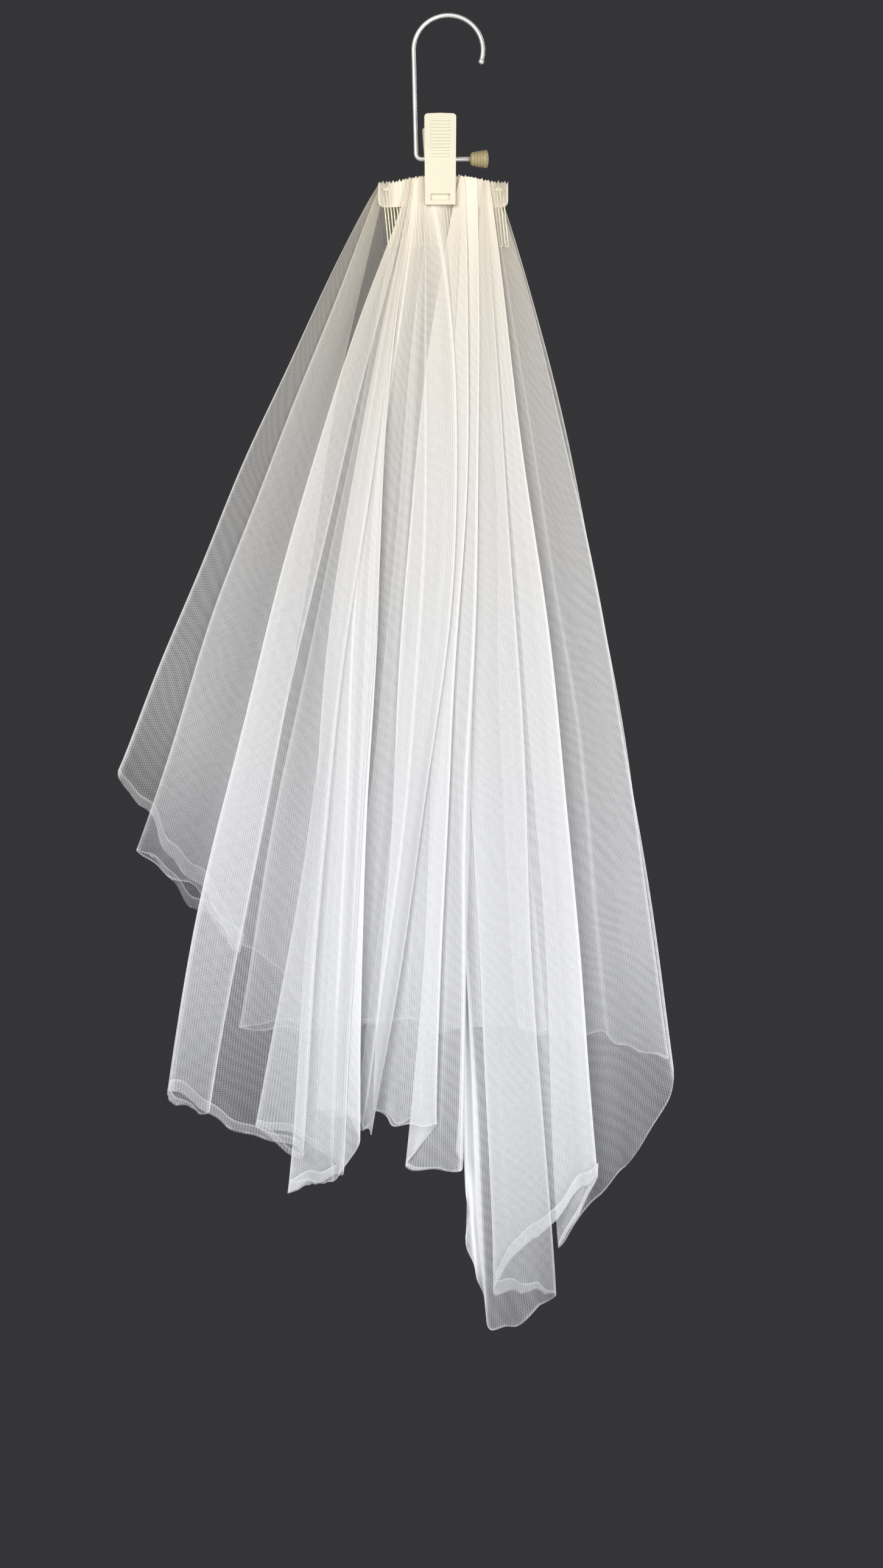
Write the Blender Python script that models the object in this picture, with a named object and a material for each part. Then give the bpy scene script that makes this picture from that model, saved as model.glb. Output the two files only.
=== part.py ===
"""A two-tier tulle bridal veil, gathered on a wire comb and held by a small clip hanger.

Metres, +Z up. The hook's inside top is the origin, and the veil faces -Y.
Everything hangs below the origin, so heights down from it are called "down".
"""
from collections import namedtuple
from math import cos, pi, radians, sin

import bmesh
import bpy
import numpy as np
from mathutils import Vector

CLEAR = 0.0003                  # gap kept between neighbouring pieces

# Hanger wire
WIRE_R = 0.0014                 # wire radius
WIRE_SIDES = 6
HOOK_R = 0.0228                 # hook's centreline radius
HOOK_END_DEG = -13.0            # where the free end stops, below level
HOOK_BALL = 1.30                # ball at the free end, times the wire radius
SHANK_FOOT_X = -0.0212          # shank's lower end; its top is on the hook
BAR_DOWN = 0.0932               # level bar's centreline
BAR_BEND_R = 0.0036             # bend between shank and bar

# Rubber tip on the bar
TIP_X = 0.0144                  # where the tip starts
TIP_LENGTH = 0.0120
TIP_NECK_R = 0.0026
TIP_START_R = 0.0044
TIP_END_R = 0.0059
TIP_RIBS = 5
TIP_RIB = 0.0003
TIP_BORE_DEPTH = 0.0085
TIP_SIDES = 14

# Clip
CLIP_X = -0.0052                # clip's middle
CLIP_W = 0.0208
GRIP_UP = 0.0276                # front jaw's top above the bar
BACK_UP = 0.0226                # the back jaw is shorter at the top
JAW_REACH = 0.0312              # both jaws' lower ends below the bar
CLIP_TOP = BAR_DOWN - GRIP_UP
BACK_TOP = BAR_DOWN - BACK_UP
CLIP_FOOT = BAR_DOWN + JAW_REACH
BACK_LEAN = 0.10                # back jaw's grip leans to the left
JAW_WALL = 0.0024
JAW_SPREAD = 0.0038             # grips stand out by this much at the top
JAW_INNER = 0.0054              # inner face at the cloth, from the middle plane
JAW_CORNER = 0.0022
SADDLE_H = 0.0100               # block on each jaw that rides on the bar
RIB_COUNT = 12
RIB_W = 0.0124
RIB_TOP = CLIP_TOP + 0.0038
RIB_PITCH = 0.0021
RIB_H = 0.0009
RIB_OUT = 0.0005
SLOT_W = 0.0126
SLOT_H = 0.0044
SLOT_FOOT = 0.0026              # slot's lower edge above the jaw's end
SLOT_DEPTH = 0.0018

# Header band
COMB_X = -0.0036                # middle of comb and header
COMB_HALF = 0.0405
BAND_LEFT = COMB_X - COMB_HALF - 0.0020
BAND_RIGHT = COMB_X + COMB_HALF + 0.0025
BAND_BELOW_BAR = 0.0144
BAND_TOP = BAR_DOWN + BAND_BELOW_BAR    # top edge away from the clip
BAND_RISE = 0.0042              # top edge rises towards the clip
HUMP_X = CLIP_X + 0.0020        # middle of that rise
HUMP_HALF = 0.0320
BAND_TALL = 0.0164
BAND_FOOT = BAND_TOP + BAND_TALL
BAND_OUT = 0.0025               # outer half thickness
BAND_WALL = 0.0009
BAND_PUCKER = 0.0004            # height of the puckers along the top
PUCKERS = 13

# Comb
COMB_BOW = 0.0040               # ends curve back by this much
SPINE_DOWN = BAND_TOP + 0.0049
SPINE_R = 0.0009
TOOTH_R = 0.00045
TEETH = 20
TOOTH_LENGTH = 0.0382
TOOTH_TIP_DOWN = SPINE_DOWN + TOOTH_LENGTH
TOOTH_LEAN = 0.10               # teeth lean to the right as they go down

# Tulle
CLOTH = 0.0010                  # wall
DROP = 0.7440                   # header to the lowest corner
FRONT_HEADER = (BAND_LEFT + 0.0061, BAND_RIGHT - 0.0114)
HEM_LEFT = -0.2216              # left corner of the wide hem
HEM_WIDTH = 0.3700
FRONT_HEM = (HEM_LEFT + 0.0396, HEM_LEFT + HEM_WIDTH)
BACK_HEADER = (BAND_LEFT + 0.0005, BAND_RIGHT - 0.0090)
BACK_HEM = (HEM_LEFT, HEM_LEFT + HEM_WIDTH - 0.0060)
GATHER = 0.0005                 # ripple depth in the header
FOLD_DEPTH = 0.0120             # fold depth at the hem
FRONT_SWELL = 0.0260            # how far each tier stands off at the hem
BACK_SWELL = 0.0200
BOW_PEAK = 3.16                 # makes the bulge's shape peak at 1
TIER_ROWS = 13
FOLD_STEPS = 4                  # wall sections from one fold line to the next

# A row for each fold line, from left to right. at_header: share of the tier's
# width in the header. at_hem: share of its width at the hem. drop: share of
# DROP. depth: share of the fold depth, + to the outside. bow: sideways bulge near
# mid height, share of the hem width.
Fold = namedtuple("Fold", "at_header at_hem drop depth bow")

FRONT_FOLDS = (
    Fold(0.00, 0.000, 0.815, 0.3, -0.024),
    Fold(0.04, 0.211, 0.847, 1.0, -0.030),
    Fold(0.08, 0.150, 0.862, -1.0, -0.020),
    Fold(0.12, 0.351, 0.883, 0.6, -0.012),
    Fold(0.16, 0.238, 0.890, -1.0, -0.033),
    Fold(0.20, 0.384, 0.839, 0.9, -0.030),
    Fold(0.27, 0.320, 0.835, -0.9, -0.024),
    Fold(0.41, 0.395, 0.839, 0.8, 0.073),
    Fold(0.46, 0.372, 0.829, -1.0, 0.054),
    Fold(0.60, 0.467, 0.832, 0.7, 0.030),
    Fold(0.65, 0.435, 0.854, -0.8, 0.030),
    Fold(0.76, 0.576, 0.869, 0.8, 0.018),
    Fold(0.80, 0.522, 0.878, -1.0, 0.018),
    Fold(0.84, 0.628, 1.000, -0.1, -0.006),
    Fold(0.87, 0.760, 0.974, 0.8, -0.012),
    Fold(0.91, 0.689, 0.948, -0.9, -0.012),
    Fold(0.94, 0.843, 0.875, 1.0, 0.012),
    Fold(0.97, 0.780, 0.894, -0.7, 0.018),
    Fold(1.00, 1.000, 0.805, -0.2, 0.046),
)

BACK_FOLDS = (
    Fold(0.00, 0.000, 0.523, -0.2, -0.010),
    Fold(0.06, 0.131, 0.615, 0.8, -0.011),
    Fold(0.11, 0.049, 0.589, -0.8, -0.009),
    Fold(0.17, 0.241, 0.695, 0.9, -0.011),
    Fold(0.22, 0.151, 0.668, -0.8, -0.006),
    Fold(0.30, 0.374, 0.749, 0.8, 0.000),
    Fold(0.36, 0.275, 0.733, -0.9, 0.000),
    Fold(0.44, 0.518, 0.754, 0.8, 0.000),
    Fold(0.50, 0.419, 0.752, -0.8, 0.000),
    Fold(0.57, 0.662, 0.757, 0.9, 0.000),
    Fold(0.63, 0.574, 0.754, -0.8, 0.000),
    Fold(0.71, 0.828, 0.754, 0.8, 0.006),
    Fold(0.77, 0.751, 0.755, -0.9, 0.006),
    Fold(0.85, 0.950, 0.773, 0.7, 0.022),
    Fold(0.91, 0.889, 0.762, -0.8, 0.022),
    Fold(1.00, 1.000, 0.785, 0.0, 0.042),
)


def clear_scene():
    for old in list(bpy.data.objects):
        bpy.data.objects.remove(old, do_unlink=True)


def paint(name, colour, roughness, metallic):
    material = bpy.data.materials.new(name)
    material.use_nodes = True
    shader = material.node_tree.nodes["Principled BSDF"]
    shader.inputs["Base Color"].default_value = (*colour, 1.0)
    shader.inputs["Roughness"].default_value = roughness
    shader.inputs["Metallic"].default_value = metallic
    material.diffuse_color = (*colour, 1.0)
    return material


def solid(name, points, faces, material=None):
    """An object from points and faces, its faces turned outward."""
    mesh = bpy.data.meshes.new(name)
    mesh.from_pydata([tuple(p) for p in points], [], faces)
    shape = bmesh.new()
    shape.from_mesh(mesh)
    bmesh.ops.recalc_face_normals(shape, faces=shape.faces)
    if shape.calc_volume(signed=True) < 0:
        bmesh.ops.reverse_faces(shape, faces=shape.faces)
    shape.to_mesh(mesh)
    shape.free()
    made = bpy.data.objects.new(name, mesh)
    bpy.context.scene.collection.objects.link(made)
    if material is not None:
        mesh.materials.append(material)
    return made


def ring_skin(rings):
    """Points and faces of a closed skin over equal rings, with flat ends."""
    points = [p for ring in rings for p in ring]
    n = len(rings[0])
    faces = [tuple(range(n - 1, -1, -1))]
    for r in range(len(rings) - 1):
        for s in range(n):
            a = r * n + s
            b = r * n + (s + 1) % n
            faces.append((a, b, b + n, a + n))
    last = (len(rings) - 1) * n
    faces.append(tuple(range(last, last + n)))
    return points, faces


def wire(name, path, radii, sides, material=None):
    """A round wire along a path; each section stands square to the path."""
    path = [Vector(p) for p in path]
    rings = []
    side = None
    for i, here in enumerate(path):
        ahead = path[min(i + 1, len(path) - 1)]
        behind = path[max(i - 1, 0)]
        along = (ahead - behind).normalized()
        if side is None:
            side = along.cross(Vector((0.0, 1.0, 0.0))).normalized()
        side = (side - along * side.dot(along)).normalized()
        up = along.cross(side)
        ring = []
        for s in range(sides):
            turn = 2 * pi * (s + 0.5) / sides
            ring.append(here + radii[i] * (cos(turn) * side + sin(turn) * up))
        rings.append(ring)
    points, faces = ring_skin(rings)
    return solid(name, points, faces, material)


def box(name, low, high):
    rings = []
    for z in (low[2], high[2]):
        rings.append([(low[0], low[1], z), (high[0], low[1], z),
                      (high[0], high[1], z), (low[0], high[1], z)])
    points, faces = ring_skin(rings)
    return solid(name, points, faces)


def prism(name, outline, axis, start, end):
    """A flat outline of (a, b) pairs swept along x ("x": a is y) or y ("y": a is x)."""
    rings = []
    for place in (start, end):
        if axis == "x":
            rings.append([(place, a, b) for a, b in outline])
        else:
            rings.append([(a, place, b) for a, b in outline])
    points, faces = ring_skin(rings)
    return solid(name, points, faces)


def combine(target, tool, operation):
    """Joins, cuts or crops target with tool, then drops the tool."""
    tool.hide_render = True
    tool.display_type = "WIRE"
    step = target.modifiers.new(operation.lower(), "BOOLEAN")
    step.operation = operation
    step.solver = "EXACT"
    step.object = tool
    graph = bpy.context.evaluated_depsgraph_get()
    done = bpy.data.meshes.new_from_object(target.evaluated_get(graph))
    target.modifiers.clear()
    target.data = done
    bpy.data.objects.remove(tool, do_unlink=True)


def build_hook(material):
    centre = WIRE_R - HOOK_R
    path = []
    for k in range(15):
        turn = radians(HOOK_END_DEG + (180.0 - HOOK_END_DEG) * k / 14)
        path.append((HOOK_R * cos(turn), 0.0, centre + HOOK_R * sin(turn)))
    foot = SHANK_FOOT_X
    for k in range(5):
        turn = pi + (pi / 2) * k / 4
        path.append((foot + BAR_BEND_R * (1 + cos(turn)), 0.0,
                     -BAR_DOWN + BAR_BEND_R * (1 + sin(turn))))
    path.append((TIP_X + TIP_BORE_DEPTH - CLEAR, 0.0, -BAR_DOWN))
    first = Vector(path[0])
    back = (first - Vector(path[1])).normalized()
    ball = [first + back * WIRE_R * step for step in (2.6, 2.2, 1.4, 0.6)]
    radii = [WIRE_R * r for r in (0.55, 1.05, HOOK_BALL, 1.1)]
    return wire("hanger_hook", ball + path, radii + [WIRE_R] * len(path),
                WIRE_SIDES, material)


def build_tip(material):
    """Turned about the bar, with a blind bore that the bar's end sits in."""
    bore = WIRE_R + CLEAR
    outline = [(TIP_BORE_DEPTH, 0.0), (TIP_BORE_DEPTH, bore), (0.0, bore),
               (0.0, TIP_NECK_R), (0.0012, TIP_START_R)]
    reach = TIP_LENGTH - 0.0028
    for k in range(TIP_RIBS * 2):
        share = (k + 0.5) / (TIP_RIBS * 2)
        radius = TIP_START_R + (TIP_END_R - TIP_START_R) * share
        outline.append((0.0012 + reach * share, radius + (TIP_RIB if k % 2 else 0.0)))
    outline.append((TIP_LENGTH - 0.0016, TIP_END_R))
    outline.append((TIP_LENGTH - 0.0005, TIP_END_R * 0.72))
    outline.append((TIP_LENGTH, 0.0))
    points = []
    faces = []
    rows = []
    for along, radius in outline:
        if radius == 0.0:
            rows.append([len(points)] * TIP_SIDES)
            points.append((TIP_X + along, 0.0, -BAR_DOWN))
            continue
        rows.append(list(range(len(points), len(points) + TIP_SIDES)))
        for s in range(TIP_SIDES):
            turn = 2 * pi * s / TIP_SIDES
            points.append((TIP_X + along, radius * cos(turn),
                           -BAR_DOWN + radius * sin(turn)))
    for one, two in zip(rows[:-1], rows[1:]):
        for s in range(TIP_SIDES):
            t = (s + 1) % TIP_SIDES
            corners = [one[s], one[t], two[t], two[s]]
            faces.append(tuple(dict.fromkeys(corners)))
    return solid("bar_tip", points, faces, material)


def jaw_profile(top, side):
    """Side view of a jaw: wall, saddle and the half-round seat for the bar."""
    bar = -BAR_DOWN
    seat = WIRE_R + CLEAR
    edge = CLEAR / 2
    spread = JAW_SPREAD
    outer = JAW_INNER + JAW_WALL
    half = SADDLE_H / 2
    lean = spread / (BAR_DOWN - half - CLIP_TOP)
    grip = spread - lean * (top - CLIP_TOP)
    outline = [(outer, -CLIP_FOOT), (outer, bar + half), (outer + grip, -top),
               (JAW_INNER + grip, -top), (JAW_INNER, bar + half),
               (edge + 0.0012, bar + half)]
    start = np.arccos(edge / seat)
    for k in range(7):
        turn = start - 2 * start * k / 6
        outline.append((seat * cos(turn), bar + seat * sin(turn)))
    outline.insert(6, (edge, bar + seat + 0.0009))
    outline.append((edge, bar - seat - 0.0009))
    outline.append((edge + 0.0012, bar - half))
    outline.append((JAW_INNER, bar - half))
    outline.append((JAW_INNER, -CLIP_FOOT))
    return [(side * y, z) for y, z in outline]


def jaw_outline(top):
    """Front view of a jaw: straight sides and rounded upper corners."""
    half = CLIP_W / 2
    outline = [(-half + 0.0004, -CLIP_FOOT), (half - 0.0004, -CLIP_FOOT)]
    for k in range(5):
        turn = (pi / 2) * k / 4
        outline.append((half + JAW_CORNER * (cos(turn) - 1), -top + JAW_CORNER * (sin(turn) - 1)))
    outline.append((0.0, -top + 0.0003))
    for k in range(5):
        turn = pi / 2 + (pi / 2) * k / 4
        outline.append((-half + JAW_CORNER * (cos(turn) + 1), -top + JAW_CORNER * (sin(turn) - 1)))
    return [(CLIP_X + x, z) for x, z in outline]


def build_jaw(name, top, side, material):
    half = CLIP_W / 2
    jaw = prism(name, jaw_profile(top - 0.0006, side), "x", CLIP_X - half - CLEAR,
                CLIP_X + half + CLEAR)
    reach = JAW_INNER + JAW_WALL + JAW_SPREAD + CLEAR
    combine(jaw, prism("front_view", jaw_outline(top), "y", -reach, reach), "INTERSECT")
    jaw.data.materials.append(material)
    return jaw


def build_front_jaw(material):
    jaw = build_jaw("clip_front_jaw", CLIP_TOP, -1, material)
    slope = JAW_SPREAD / (BAR_DOWN - SADDLE_H / 2 - CLIP_TOP)
    for k in range(RIB_COUNT):
        down = RIB_TOP + RIB_PITCH * k
        stand = max(BAR_DOWN - SADDLE_H / 2 - down, 0.0) * slope
        face = -(JAW_INNER + JAW_WALL + stand)
        rib = box("rib", (CLIP_X - RIB_W / 2, face - RIB_OUT, -down - RIB_H),
                  (CLIP_X + RIB_W / 2, face + JAW_WALL / 2, -down))
        combine(jaw, rib, "UNION")
    foot = -CLIP_FOOT + SLOT_FOOT
    face = -(JAW_INNER + JAW_WALL)
    slot = box("slot", (CLIP_X - SLOT_W / 2, face - 0.002, foot),
               (CLIP_X + SLOT_W / 2, face + SLOT_DEPTH, foot + SLOT_H))
    combine(jaw, slot, "DIFFERENCE")
    return jaw


def build_back_jaw(material):
    jaw = build_jaw("clip_back_jaw", BACK_TOP, 1, material)
    pivot = -BAR_DOWN + SADDLE_H / 2
    for point in jaw.data.vertices:
        above = max(point.co.z - pivot, 0.0)
        point.co.x -= BACK_LEAN * above
    return jaw


def header_back(x):
    """How far the header's curve stands back at x."""
    return COMB_BOW * ((x - COMB_X) / COMB_HALF) ** 2


def build_comb(material):
    step = 2 * COMB_HALF / TEETH
    leg = step * 0.24
    loop = leg
    tip = -TOOTH_TIP_DOWN + loop + TOOTH_R
    top = -SPINE_DOWN + SPINE_R * 0.6
    front = -SPINE_R * 0.8
    path = []
    for tooth in range(TEETH):
        middle = COMB_X - COMB_HALF + step * (tooth + 0.5)
        places = [(middle - leg, top), (middle - leg, tip)]
        for k in (1, 2, 3):
            turn = pi + pi * k / 4
            places.append((middle + loop * cos(turn), tip + loop * sin(turn)))
        places += [(middle + leg, tip), (middle + leg, top)]
        for x, z in places:
            lean = TOOTH_LEAN * (top - z)
            path.append((x + lean, header_back(x) + front, z))
    teeth = wire("teeth", path, [TOOTH_R] * len(path), 5)
    ends = np.linspace(COMB_X - COMB_HALF, COMB_X + COMB_HALF, 13)
    rod = [(x, header_back(x), -SPINE_DOWN) for x in ends]
    comb = wire("comb", rod, [SPINE_R] * len(rod), 8)
    combine(comb, teeth, "UNION")
    comb.data.materials.append(material)
    return comb


def header_top(x):
    """Height of the gathered top edge: level at the ends, higher at the clip."""
    away = abs(x - HUMP_X) / HUMP_HALF
    return -BAND_TOP + BAND_RISE * max(0.0, 1.0 - away ** 1.6)


def build_band(material):
    """A folded casing over the spine: an upside-down U with a puckered top."""
    count = PUCKERS * 2 + 1
    rings = []
    for k in range(count):
        share = k / (count - 1)
        x = BAND_LEFT + (BAND_RIGHT - BAND_LEFT) * share
        back = header_back(x)
        top = header_top(x) - (BAND_PUCKER if k % 2 else 0.0)
        inner = BAND_OUT - BAND_WALL
        ring = []
        for y, z in ((-BAND_OUT, -BAND_FOOT), (-BAND_OUT, top - 0.0016),
                     (-BAND_OUT * 0.55, top), (BAND_OUT * 0.55, top),
                     (BAND_OUT, top - 0.0016), (BAND_OUT, -BAND_FOOT),
                     (inner, -BAND_FOOT), (inner, top - 0.0022),
                     (-inner, top - 0.0022), (-inner, -BAND_FOOT)):
            ring.append((x, back + y, z))
        rings.append(ring)
    points, faces = ring_skin(rings)
    return solid("header_band", points, faces, material)


def smooth_between(before, here, after, beyond, share):
    """A smooth curve from here to after, steered by its neighbours."""
    ease = 0.35
    lead_in = (after - before) * ease
    lead_out = (beyond - here) * ease
    s2 = share * share
    s3 = s2 * share
    return ((2 * s3 - 3 * s2 + 1) * here + (s3 - 2 * s2 + share) * lead_in
            + (3 * s2 - 2 * s3) * after + (s3 - s2) * lead_out)


def tier_lines(folds, header, hem, side, swell):
    """Every fold line as points from the header down to the hem."""
    lines = np.zeros((len(folds), TIER_ROWS, 3))
    hem_width = hem[1] - hem[0]
    stand_off = BAND_OUT + CLEAR + CLOTH / 2 + GATHER
    for i, fold in enumerate(folds):
        top_x = header[0] + (header[1] - header[0]) * fold.at_header
        hem_x = hem[0] + hem_width * fold.at_hem
        top_z = header_top(top_x) - 0.0012
        for row in range(TIER_ROWS):
            down = (row / (TIER_ROWS - 1)) ** 1.35
            bulge = BOW_PEAK * down ** 0.7 * (1 - down)
            x = top_x + (hem_x - top_x) * down + fold.bow * hem_width * bulge
            z = top_z - DROP * fold.drop * down
            free = max(0.0, -z - BAND_FOOT) / DROP
            depth = GATHER + FOLD_DEPTH * free ** 0.8
            out = stand_off + swell * free ** 0.9 + fold.depth * depth + (depth - GATHER) * 0.6
            held_x = min(max(x, BAND_LEFT), BAND_RIGHT)
            bend = header_back(held_x) * (1 - min(1.0, free * 3))
            lines[i, row] = (x, side * out + bend, z)
    return lines


def build_tier(name, folds, header, hem, side, swell, material):
    """A pleated wall: every level runs smoothly through all fold lines."""
    lines = tier_lines(folds, header, hem, side, swell)
    last = len(folds) - 1
    columns = []
    for i in range(last):
        before = lines[max(i - 1, 0)]
        beyond = lines[min(i + 2, last)]
        for k in range(FOLD_STEPS):
            share = k / FOLD_STEPS
            columns.append(smooth_between(before, lines[i], lines[i + 1], beyond, share))
    columns.append(lines[last])
    middle = np.array(columns)
    across = np.gradient(middle, axis=0)
    along = np.gradient(middle, axis=1)
    normal = np.cross(across, along)
    normal /= np.linalg.norm(normal, axis=2, keepdims=True)
    skins = (middle - normal * CLOTH / 2, middle + normal * CLOTH / 2)
    points = np.concatenate([s.reshape(-1, 3) for s in skins])
    wide, tall = middle.shape[:2]
    far = wide * tall
    faces = []
    for c in range(wide - 1):
        for r in range(tall - 1):
            a = c * tall + r
            b = a + tall
            faces.append((a, b, b + 1, a + 1))
            faces.append((far + a, far + a + 1, far + b + 1, far + b))
    rim = [c * tall for c in range(wide)]
    rim += [(wide - 1) * tall + r for r in range(1, tall)]
    rim += [c * tall + tall - 1 for c in range(wide - 2, -1, -1)]
    rim += [r for r in range(tall - 2, 0, -1)]
    for k, a in enumerate(rim):
        b = rim[(k + 1) % len(rim)]
        faces.append((b, a, far + a, far + b))
    return solid(name, points.tolist(), faces, material)


def main():
    clear_scene()
    steel = paint("polished_steel", (0.72, 0.73, 0.74), 0.22, 1.0)
    rubber = paint("amber_rubber", (0.46, 0.40, 0.27), 0.55, 0.0)
    plastic = paint("cream_plastic", (0.90, 0.87, 0.78), 0.35, 0.0)
    gilt = paint("gilt_wire", (0.80, 0.70, 0.45), 0.28, 1.0)
    gathered = paint("ivory_tulle", (0.90, 0.87, 0.83), 0.85, 0.0)
    white = paint("white_tulle", (0.88, 0.89, 0.92), 0.85, 0.0)
    build_hook(steel)
    build_tip(rubber)
    build_front_jaw(plastic)
    build_back_jaw(plastic)
    build_comb(gilt)
    build_band(gathered)
    build_tier("front_tier", FRONT_FOLDS, FRONT_HEADER, FRONT_HEM, -1, FRONT_SWELL, white)
    build_tier("back_tier", BACK_FOLDS, BACK_HEADER, BACK_HEM, 1, BACK_SWELL, white)


main()
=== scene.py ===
"""A two-tier tulle bridal veil on its wire comb and clip hanger, for Blender's 3D view sidebar.

Metres, +Z up, the veil's face towards -Y, and the hook's inside top at the origin.
"""

from collections import namedtuple

import bmesh
import bpy
import numpy as np
from bpy.props import FloatProperty, FloatVectorProperty, IntProperty, PointerProperty
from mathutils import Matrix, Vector


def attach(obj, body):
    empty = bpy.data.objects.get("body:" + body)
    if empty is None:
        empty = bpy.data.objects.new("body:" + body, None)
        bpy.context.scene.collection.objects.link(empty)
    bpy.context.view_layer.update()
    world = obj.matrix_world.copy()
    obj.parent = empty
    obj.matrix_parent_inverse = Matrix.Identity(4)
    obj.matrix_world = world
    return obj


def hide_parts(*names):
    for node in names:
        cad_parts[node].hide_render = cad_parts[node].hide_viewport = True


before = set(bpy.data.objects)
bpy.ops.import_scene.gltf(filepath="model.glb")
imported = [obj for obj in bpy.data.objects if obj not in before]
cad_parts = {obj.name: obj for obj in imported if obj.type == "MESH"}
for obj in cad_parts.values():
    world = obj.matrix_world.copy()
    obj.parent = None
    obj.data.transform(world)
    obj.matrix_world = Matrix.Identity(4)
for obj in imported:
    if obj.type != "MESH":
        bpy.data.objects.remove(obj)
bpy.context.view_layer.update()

bl_info = {
    "name": "Two-tier bridal veil",
    "version": (1, 0, 0),
    "blender": (4, 5, 0),
    "location": "View3D > Sidebar > Veil",
    "description": "Builds a gathered tulle veil, its comb, its clip hanger and a plain studio",
    "category": "Add Mesh",
}

TAU = 6.2831853
PHASES = 6.28  # random phases run from 0 to here
EASE = 0.35  # how far a smooth curve follows its neighbours' direction
ROW_CROWDING = 0.72  # how much closer the rows lie at the header and the hem

# Header: the casing's ends, the gathered edge's height at them, its hump at the
# clip, and how far below the origin the casing ends and the net comes free.
CASING_LEFT, CASING_RIGHT = -0.0461, 0.0394
GATHERED_EDGE = -0.1076
HUMP_HEIGHT, HUMP_MIDDLE, HUMP_HALF, HUMP_POWER = 0.0042, -0.0032, 0.032, 1.6
CASING_END = 0.1240
NET_START = 0.122

# Casing: half its thickness, the share of its profile that is the round top, the
# top's height, the ripples' pitch, depth and height, and the corners' radius.
CASING_HALF = 0.0021
TOP_SHARE, TOP_HEIGHT = 0.12, 0.0006
PUCKER, SECOND_PUCKER = 2900, 1730
PUCKER_DEPTH, PUCKER_HEIGHT = 0.00022, 0.0006
CASING_CORNER = 0.006
CASING_MIDDLE = -0.0045

# Fold lines: how far below the gathered edge they start, how far a tier stands
# off the comb, the least fold depth, the bulge's size and power, and two sways,
# as width and turn over the drop in radians. The outer lines have only the fine one.
EDGE_INSET = 0.0010
TIER_OFF = 0.0038
LEAST_DEPTH = 0.0005
BULGE, BULGE_POWER = 3.16, 0.7
FINE_SWAY, FINE_TURN = 0.0007, 17
INNER_SWAY, INNER_TURN = 0.0030, 6

# Fine gathers: one wave's turn, each wave's share of the number of gathers and
# its size, how far they drift, and their depth and height inside the header.
GATHER_TURN = 6.2832
GATHER_WAVES = ((1.0, 1.0), (1.7, 0.4), (0.43, 0.8))
GATHER_DRIFT = 1.2
HEADER_RIPPLE, HEADER_RISE = 0.00025, 0.0004

# Raw hem: its two waves as long length, short length and the short one's size,
# how far they push it sideways, out and down, the share of the drop over which
# they die out, and which way a turned-up stretch leans.
HEM_WAVES = ((0.052, 0.021, 0.6), (0.037, 0.016, 0.5))
HEM_SIDEWAYS, HEM_OUT, HEM_DOWN = 0.0018, 0.0034, (0.0022, 0.0012)
HEM_REACH = 0.030
CURL_LEAN = (0.10, -0.45, 0.0)

# Packed net: share of the drop at which widths are measured, where the net
# thins out near the hem, and the gain and reach of the gathers, of the header,
# of the side edges, of the creases and of the hem.
MEASURED_AT = 0.50
THIN_FROM, THINNING, THIN_POWER = 0.80, 0.5, 1.2
GATHER_GAIN, GATHER_REACH = 0.45, 0.09
HEADER_GAIN, HEADER_REACH, HEADER_FROM, HEADER_POWER = 3, 0.022, 0.8, 1.5
MOST_LAYERS = 40.0
EDGE_GAIN, EDGE_WIDTH = 2.2, 0.0012
CREASE_GAIN, CREASE_WIDTH = 1.7, 0.0011
FINE_GAIN, FINE_WIDTH, FINE_FROM = 0.6, 0.0010, 0.7
HEM_GAIN, HEM_WIDTH = 1.3, 0.0010

# Net: the waves' pitch as a share of a cell's width, their sum at a hole and at
# thread and what it adds to the cover there, and the shimmer's bands.
PITCH_SHARE = 0.866
HOLE_SUM, THREAD_SUM = 1.2, -1.0
HOLE_COVER, THREAD_COVER = -0.55, 0.75
SHIMMER = 0.10
SHIMMER_BANDS = {"Scale": 68.0, "Distortion": 24.0, "Detail": 1.0, "Detail Scale": 0.16}
WARM_FROM, WARM_REACH = 0.115, 0.17  # ivory fades to white below here, over this drop

# Hanger: the hook's angles in degrees, the shank's foot, the bend's radius, the
# ball on the hook's end as steps and radii in wire radii, and the tip's start.
HOOK_START, HOOK_END = -13, 180
SHANK_FOOT = -0.0212
BEND_RADIUS = 0.0036
BALL_STEPS = (3.0, 2.9, 2.6, 2.1, 1.5, 1.0, 0.6)
BALL_RADII = (0.25, 0.75, 1.15, 1.3, 1.25, 1.1, 1.0)
TIP_START = 0.0144
BAR_INTO_TIP = 0.0082
# Rubber tip, as distance from its start and radius: the socket and the flared
# neck, and the domed end. Between them it is a cone with soft ribs.
TIP_NECK = ((0.0085, 0.0005), (0.0085, 0.0017), (0.0, 0.0017), (0.0, 0.0026), (0.0008, 0.0040))
TIP_DOME = ((0.0110, 0.0057), (0.0114, 0.0046), (0.0118, 0.0028), (0.0120, 0.0004))
TIP_BODY_START, TIP_BODY_LENGTH = 0.0012, 0.0092
TIP_RADIUS, TIP_FLARE, TIP_RIB, TIP_RIB_TURN = 0.0044, 0.0015, 0.00022, 31.4

JAW_ROUNDING = 0.0002

# Comb: wire radii, a leg's share of the pitch, how far the teeth start above the
# spine's line, stand in front of it and lean sideways, and the loops' rise.
TOOTH_WIRE, SPINE_WIRE = 0.00045, 0.0009
LEG_SHARE = 0.24
TEETH_RISE = 0.0006
TEETH_FORWARD = 0.0007
TEETH_LEAN = 0.10
LOOP_RISE = 0.0004

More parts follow.
